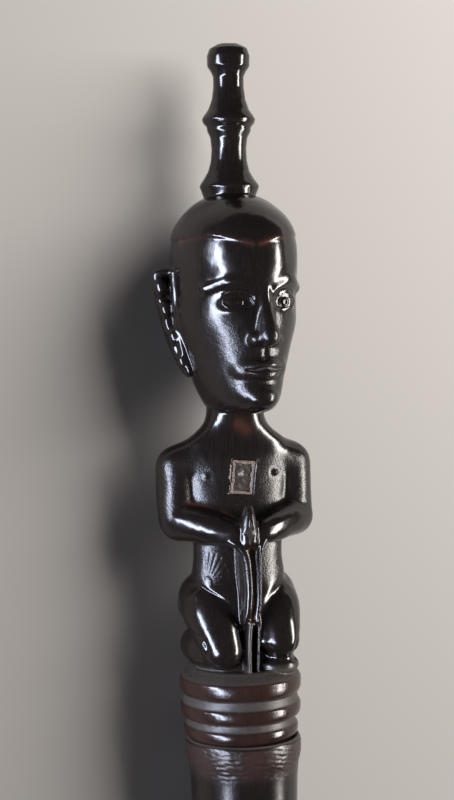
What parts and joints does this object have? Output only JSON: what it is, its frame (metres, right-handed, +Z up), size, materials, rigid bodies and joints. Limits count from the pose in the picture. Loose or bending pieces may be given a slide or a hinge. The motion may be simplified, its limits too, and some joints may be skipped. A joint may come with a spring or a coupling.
{
  "type": "shaman staff",
  "caption": "Long dark hardwood staff with a carved kneeling figure, its hands pressed together, under a turned finial. It lies on its back.",
  "frame": {"origin": "on the surface that the staff lies on, under the middle of its length and width", "axes": "+Y along the staff towards the finial, +Z up out of the front of the carved figure, +X towards the figure's left hand"},
  "size_m": [0.0602, 1.2, 0.0575],
  "materials": {
    "carved_wood": "near-black hardwood, handled to a gloss, reddish brown where worn and dusty grey in the hollows",
    "shaft_wood": "near-black hardwood, glossy, with a rough worn band under the collar",
    "chest_filling": "dull dark filling with a worn brown border and a pale grey spot"
  },
  "bodies": {
    "root": {"carved_figure": "carved_wood", "shaft": "shaft_wood", "chest_plug": "chest_filling"}
  },
  "joints": []
}
